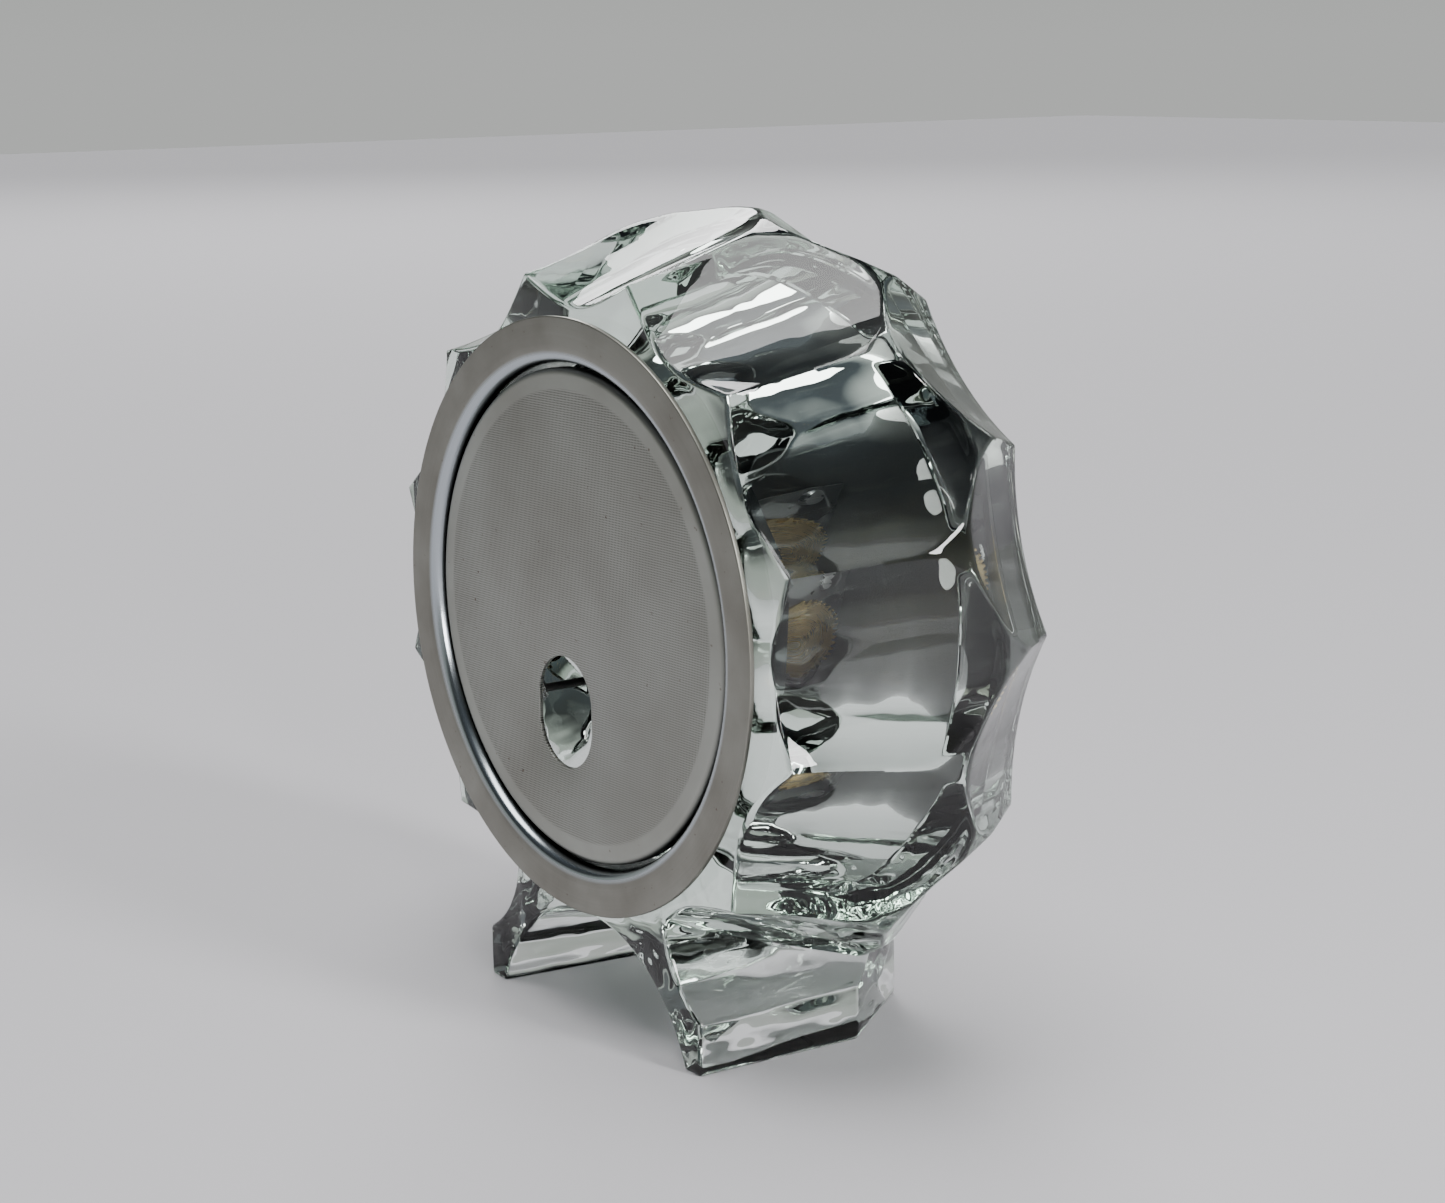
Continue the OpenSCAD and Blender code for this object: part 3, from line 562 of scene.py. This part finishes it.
cover_metal = finish_of("stamped_cover_aluminium", (0.375, 0.385, 0.355), (0.325, 0.325, 0.295),
                        (0.42, 0.52), metallic=1.0, centre=axis_point, cloud=45, speck=700,
                        bump=0.08, speck_colour=(0.13, 0.09, 0.07))
dots = bpy.data.node_groups.new("stamped_dots", "ShaderNodeTree")
for label, kind in (("Vector", "NodeSocketVector"), ("Radius", "NodeSocketFloat"),
                    ("Colour", "NodeSocketColor")):
    dots.interface.new_socket(label, in_out="INPUT", socket_type=kind)
for label, kind in (("Colour", "NodeSocketColor"), ("Dots", "NodeSocketFloat")):
    dots.interface.new_socket(label, in_out="OUTPUT", socket_type=kind)
d_in, d_out = dots.nodes.new("NodeGroupInput"), dots.nodes.new("NodeGroupOutput")
d_grid, d_cell, d_mid, d_flat, d_size = (dots.nodes.new("ShaderNodeVectorMath") for k in range(5))
d_round, d_field, d_both, d_dark = (
    dots.nodes.new("ShaderNode" + kind) for kind in ("MapRange", "MapRange", "Math", "Mix"))
d_grid.operation, d_cell.operation, d_mid.operation, d_flat.operation, d_size.operation = (
    "SCALE", "FRACTION", "SUBTRACT", "MULTIPLY", "LENGTH")
d_grid.inputs["Scale"].default_value = 2340.0
d_mid.inputs[1].default_value, d_flat.inputs[1].default_value = (0.5, 0.5, 0.5), (1, 0, 1)
for name, value in (("From Min", 0.34), ("From Max", 0.20)):
    d_round.inputs[name].default_value = value
for name, value in (("From Min", (cover_r - 3.4) * MM), ("From Max", (cover_r - 4.0) * MM)):
    d_field.inputs[name].default_value = value
d_both.operation = "MULTIPLY"
d_dark.data_type, d_dark.blend_type = "RGBA", "MULTIPLY"
d_dark.inputs["B"].default_value = (0.26, 0.25, 0.24, 1)
dots.links.new(d_in.outputs["Vector"], d_grid.inputs[0])
dots.links.new(d_grid.outputs[0], d_cell.inputs[0])
dots.links.new(d_cell.outputs[0], d_mid.inputs[0])
dots.links.new(d_mid.outputs[0], d_flat.inputs[0])
dots.links.new(d_flat.outputs[0], d_size.inputs[0])
dots.links.new(d_size.outputs["Value"], d_round.inputs["Value"])
dots.links.new(d_in.outputs["Radius"], d_field.inputs["Value"])
dots.links.new(d_round.outputs["Result"], d_both.inputs[0])
dots.links.new(d_field.outputs["Result"], d_both.inputs[1])
dots.links.new(d_both.outputs[0], d_dark.inputs["Factor"])
dots.links.new(d_in.outputs["Colour"], d_dark.inputs["A"])
dots.links.new(d_dark.outputs["Result"], d_out.inputs["Colour"])
dots.links.new(d_both.outputs[0], d_out.inputs["Dots"])
tree = cover_metal.node_tree
shader = tree.nodes["Principled BSDF"]
shift = tree.nodes["Mapping"]
dotted, lathe, press = (tree.nodes.new("ShaderNode" + kind) for kind in ("Group", "Group", "Bump"))
dotted.node_tree, lathe.node_tree = dots, turning
press.invert = True
press.inputs["Strength"].default_value, press.inputs["Distance"].default_value = 0.5, 0.00008
plain = shader.inputs["Base Color"].links[0].from_socket
grain = shader.inputs["Normal"].links[0].from_socket
tree.links.new(shift.outputs[0], dotted.inputs["Vector"])
tree.links.new(shift.outputs[0], lathe.inputs["Vector"])
tree.links.new(lathe.outputs["Radius"], dotted.inputs["Radius"])
tree.links.new(plain, dotted.inputs["Colour"])
tree.links.new(dotted.outputs["Colour"], shader.inputs["Base Color"])
tree.links.new(dotted.outputs["Dots"], press.inputs["Height"])
tree.links.new(grain, press.inputs["Normal"])
tree.links.new(press.outputs["Normal"], shader.inputs["Normal"])
# Painted shade down in the gap, on the cover's rolled edge and skirt.
paint_gap_shade(cover_metal, cover_r - 0.9, cover_r - 0.3)
lid_piece = object_from("dotted_back_cover", lid, cover_metal)
lid_piece.data.set_sharp_from_angle(angle=math.radians(30))
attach(lid_piece, "cover")
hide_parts("back_cover")


def give(finish, *names):
    """Put a finish on nodes that keep their own shape."""
    for name in names:
        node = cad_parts[name]
        for place in node.material_slots:
            place.material = finish


spring = finish_of("bright_spring_steel", (0.66, 0.66, 0.67), (0.50, 0.50, 0.50), (0.18, 0.34),
                   metallic=1.0, cloud=160, speck=2200, bump=0.08)
give(spring, "cover_clips", "rod_brackets", "leaf_stops", "battery_contacts")

# --- Front bezel, lens and seal ----------------------------------------------------
# A black enamelled steel bezel is pressed on to the front of the bore. It carries a
# polished glass lens on a soft rubber ring, which bears on the mask behind.
bezel_black = finish_of("black_enamel_bezel", (0.022, 0.022, 0.024), (0.045, 0.045, 0.048),
                        (0.16, 0.34), coat=0.4, centre=axis_point, cloud=70, speck=1500, bump=0.05,
                        turned=0.3, lines=2500, speck_colour=(0.10, 0.10, 0.10))
proud = (back_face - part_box("front_bezel")[0].y) / MM
bezel_profile = rounded([(48.0, 54.0), (48.0, 55.9), (47.3, proud), (44.5, proud), (42.0, 54.6),
                         (42.0, 53.4), (43.5, 53.4), (43.5, 47.0), (45.5, 47.0), (45.5, 54.0)],
                        0.35, 4)
bezel_piece = spun_piece("enamelled_front_bezel", bezel_profile, 240, bezel_black)
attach(bezel_piece, "case")
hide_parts("front_bezel")

lens_glass = glass.copy()
lens_glass.name = "polished_lens_glass"
for bump in ("Bump", "Bump.001"):
    lens_glass.node_tree.nodes[bump].inputs["Strength"].default_value = 0.03
lens_glass.node_tree.nodes["Volume Absorption"].inputs["Density"].default_value = 3.0
lens_low, lens_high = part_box("front_lens")
lens_back, lens_front = (back_face - lens_high.y) / MM, (back_face - lens_low.y) / MM
lens_shape = bmesh.new()
lens_rim = rounded([(0.0, lens_back), (43.17, lens_back), (43.17, lens_front), (0.0, lens_front)],
                   0.3, 4)
line = [lens_shape.verts.new(in_row(r, 0, z)) for r, z in lens_rim if r > 0.01]
line.insert(0, lens_shape.verts.new(in_row(0, 0, lens_back)))
line.append(lens_shape.verts.new(in_row(0, 0, lens_front)))
edges = [lens_shape.edges.new(pair) for pair in zip(line, line[1:])]
bmesh.ops.spin(lens_shape, geom=line + edges, cent=in_row(0, 0, 0), axis=(0, 1, 0), angle=math.tau,
               steps=200, use_merge=True)
bmesh.ops.remove_doubles(lens_shape, verts=lens_shape.verts, dist=1e-7)
bmesh.ops.recalc_face_normals(lens_shape, faces=lens_shape.faces)
lens_piece = object_from("polished_lens", lens_shape, lens_glass)
lens_piece.data.set_sharp_from_angle(angle=math.radians(30))
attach(lens_piece, "case")
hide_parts("front_lens")

give(finish_of("soft_seal_rubber", (0.030, 0.030, 0.031), (0.050, 0.049, 0.047), (0.62, 0.82),
               cloud=120, speck=1800, bump=0.2), "lens_gasket")
give(finish_of("matt_black_mask", (0.016, 0.016, 0.017), (0.028, 0.028, 0.028), (0.5, 0.72),
               cloud=90, speck=2500, bump=0.12, speck_colour=(0.06, 0.06, 0.06)), "display_mask")

# --- Works frame -------------------------------------------------------------------
# Two black-painted steel side plates are held apart by brass pillars and cheese-head
# screws. Blackened tie rods pull the works and the back ring together on the glass.
plate_black = finish_of("stoved_black_plate", (0.016, 0.016, 0.017), (0.030, 0.030, 0.031),
                        (0.24, 0.42), cloud=110, speck=1600, bump=0.12, coat=0.2,
                        speck_colour=(0.10, 0.10, 0.10))
give(plate_black, "left_plate", "right_plate")
brass = finish_of("turned_brass", (0.74, 0.56, 0.26), (0.55, 0.39, 0.17), (0.18, 0.36),
                  metallic=1.0, cloud=140, speck=1900, bump=0.10, speck_colour=(0.22, 0.13, 0.06))
give(brass, "plate_spacers", "motor_posts")
steel = finish_of("machined_screw_steel", (0.52, 0.52, 0.53), (0.36, 0.36, 0.37), (0.20, 0.40),
                  metallic=1.0, cloud=200, speck=2400, bump=0.12, speck_colour=(0.14, 0.11, 0.09))
give(steel, "spacer_screws", "mask_screws", "main_shaft", "pawl_rod", "setting_shaft")
blackened = finish_of("blackened_steel", (0.012, 0.012, 0.013), (0.032, 0.030, 0.028), (0.28, 0.5),
                      cloud=160, speck=2000, bump=0.12, speck_colour=(0.09, 0.08, 0.07))
give(blackened, "tie_rods", "rod_nuts")

# --- Gear train --------------------------------------------------------------------
# Stamped brass wheels run on steel shafts between the plates, driven through a
# white nylon pinion. The lathe left faint lines round each wheel's own axle.


def on_its_axle(finish, node):
    """Turn a finish's pattern to run round an axle that lies along X through the middle of a node."""
    made = finish.copy()
    made.name = finish.name + "_" + node
    low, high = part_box(node)
    shift = made.node_tree.nodes["Mapping"]
    quarter = Matrix.Rotation(math.pi / 2, 3, "Z")
    shift.inputs["Rotation"].default_value = (0, 0, math.pi / 2)
    shift.inputs["Location"].default_value = -(quarter @ ((low + high) / 2))
    give(made, node)


wheel_brass = finish_of("stamped_wheel_brass", (0.76, 0.58, 0.28), (0.58, 0.42, 0.19), (0.20, 0.36),
                        metallic=1.0, centre=axis_point, cloud=110, speck=1500, bump=0.12,
                        turned=0.6, lines=5200, speck_colour=(0.24, 0.15, 0.07))
for node in ("minute_gear", "relay_wheel", "setting_wheel"):
    on_its_axle(wheel_brass, node)
nylon = finish_of("white_nylon", (0.80, 0.78, 0.70), (0.70, 0.67, 0.58), (0.38, 0.55),
                  centre=axis_point, cloud=130, speck=1700, bump=0.10, turned=0.25, lines=3000,
                  speck_colour=(0.42, 0.38, 0.30))
for node in ("motor_pinion", "setting_pinion"):
    on_its_axle(nylon, node)
pawl_metal = finish_of("stamped_pawl_brass", (0.70, 0.52, 0.24), (0.52, 0.37, 0.16), (0.24, 0.42),
                       metallic=1.0, cloud=180, speck=2300, bump=0.12,
                       speck_colour=(0.20, 0.12, 0.05))
give(pawl_metal, "tens_pawl", "hour_pawl")
can = finish_of("drawn_motor_can", (0.62, 0.63, 0.64), (0.46, 0.47, 0.48), (0.22, 0.38),
                metallic=1.0, centre=axis_point, cloud=90, speck=1500, bump=0.10, turned=0.5,
                lines=3600, speck_colour=(0.26, 0.25, 0.24))
on_its_axle(can, "motor")
knob = finish_of("ribbed_knob_plastic", (0.026, 0.026, 0.028), (0.045, 0.045, 0.046), (0.34, 0.52),
                 centre=axis_point, cloud=120, speck=1800, bump=0.15, turned=0.2, lines=2400,
                 speck_colour=(0.09, 0.09, 0.09))
on_its_axle(knob, "setting_knob")

# --- Display drums and leaves --------------------------------------------------------
# Ivory plastic drums carry matt black leaves on wire pins. White figures are printed
# in two halves, one on the standing leaf and one on the leaf that hangs below it.
ivory = finish_of("moulded_ivory_plastic", (0.80, 0.76, 0.64), (0.70, 0.65, 0.52), (0.36, 0.54),
                  centre=axis_point, cloud=110, speck=1600, bump=0.10, turned=0.2, lines=2800,
                  speck_colour=(0.45, 0.38, 0.26))
for node in ("hour_drum", "tens_drum", "minute_drum"):
    on_its_axle(ivory, node)
leaf_black = finish_of("matt_leaf_black", (0.018, 0.018, 0.019), (0.030, 0.030, 0.031),
                       (0.48, 0.66), cloud=130, speck=2600, bump=0.08,
                       speck_colour=(0.07, 0.07, 0.07))
give(leaf_black, "hour_leaves", "hour_top_leaf", "tens_leaves", "tens_top_leaf", "minute_leaves",
     "minute_top_leaf")
figure_white = finish_of("printed_figure_white", (0.82, 0.82, 0.79), (0.72, 0.71, 0.67),
                         (0.45, 0.6), cloud=160, speck=2600, bump=0.06,
                         speck_colour=(0.5, 0.49, 0.45))
letter_size, figure_height, ink_thickness = 0.0235, 0.0182, 0.00006
upper_cut, lower_cut = 0.0004, -0.0031
for words, top_node, pack_node, top_body, pack_body in (
        ("10", "hour_top_leaf", "hour_leaves", "hour_leaf", "hour_works"),
        ("0", "tens_top_leaf", "tens_leaves", "tens_leaf", "tens_works"),
        ("8", "minute_top_leaf", "minute_leaves", "minute_leaf", "minute_works")):
    low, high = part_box(top_node)
    face_y = {"upper": low.y + 0.0002, "lower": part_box(pack_node)[0].y + 0.0002}
    for half in ("upper", "lower"):
        letters = bpy.data.curves.new("figure", "FONT")
        letters.body, letters.size = words, letter_size
        letters.align_x, letters.align_y = "CENTER", "CENTER"
        letters.resolution_u = 6
        words_object = bpy.data.objects.new("figure", letters)
        studio.collection.objects.link(words_object)
        bpy.context.view_layer.update()
        shape = bmesh.new()
        drawn = words_object.to_mesh()
        shape.from_mesh(drawn)
        words_object.to_mesh_clear()
        bpy.data.objects.remove(words_object)
        tops = [v.co.y for v in shape.verts]
        sides = [v.co.x for v in shape.verts]
        middle = Vector(((max(sides) + min(sides)) / 2, (max(tops) + min(tops)) / 2, 0))
        stretch = min(1.0, 0.80 * (high.x - low.x) / (max(sides) - min(sides)))
        tall = figure_height / (max(tops) - min(tops))
        for vert in shape.verts:
            vert.co = Vector(((vert.co.x - middle.x) * stretch, (vert.co.y - middle.y) * tall, 0))
        cut = upper_cut if half == "upper" else lower_cut
        bmesh.ops.bisect_plane(shape, geom=shape.verts[:] + shape.edges[:] + shape.faces[:], dist=1e-7,
                               plane_co=(0, cut, 0), plane_no=(0, 1, 0), clear_inner=half == "upper",
                               clear_outer=half == "lower")
        made = bmesh.ops.extrude_face_region(shape, geom=shape.faces[:])["geom"]
        bmesh.ops.translate(shape, verts=[v for v in made if isinstance(v, bmesh.types.BMVert)], 
                            vec=(0, 0, ink_thickness))
        bmesh.ops.remove_doubles(shape, verts=shape.verts, dist=1e-7)
        bmesh.ops.recalc_face_normals(shape, faces=shape.faces)
        shape.transform(Matrix.Translation(((low.x + high.x) / 2, face_y[half], axis_height))
                        @ Matrix.Rotation(math.pi / 2, 4, "X"))
        name = "figure_" + words + "_" + half + "_" + top_node[:4].strip("_")
        figure = object_from(name, shape, figure_white, smooth=False)
        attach(figure, top_body if half == "upper" else pack_body)

# --- Battery -----------------------------------------------------------------------
# One round cell lies in a black moulded tray with tinned spring contacts. Its steel
# jacket is lacquered dark grey with a bright band at the button end, and no lettering.
give(finish_of("moulded_tray_plastic", (0.040, 0.040, 0.043), (0.060, 0.060, 0.062), (0.40, 0.58),
               cloud=120, speck=1700, bump=0.16, speck_colour=(0.10, 0.10, 0.10)), "battery_holder")
jacket = finish_of("lacquered_cell_jacket", (0.18, 0.20, 0.23), (0.13, 0.15, 0.18), (0.22, 0.36),
                   metallic=0.6, coat=0.5, cloud=70, speck=1400, bump=0.05,
                   speck_colour=(0.40, 0.40, 0.40))
tree = jacket.node_tree
shader = tree.nodes["Principled BSDF"]
button_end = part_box("battery")[1].x
split, band, bright = (tree.nodes.new("ShaderNode" + kind)
                       for kind in ("SeparateXYZ", "MapRange", "Mix"))
bright.data_type = "RGBA"
bright.inputs["B"].default_value = (0.72, 0.70, 0.66, 1)
band.inputs["From Min"].default_value = button_end - 0.0135
band.inputs["From Max"].default_value = button_end - 0.0132
plain = shader.inputs["Base Color"].links[0].from_socket
tree.links.new(tree.nodes["Texture Coordinate"].outputs["Object"], split.inputs[0])
tree.links.new(split.outputs["X"], band.inputs["Value"])
tree.links.new(band.outputs["Result"], bright.inputs["Factor"])
tree.links.new(plain, bright.inputs["A"])
tree.links.new(bright.outputs["Result"], shader.inputs["Base Color"])
give(jacket, "battery")
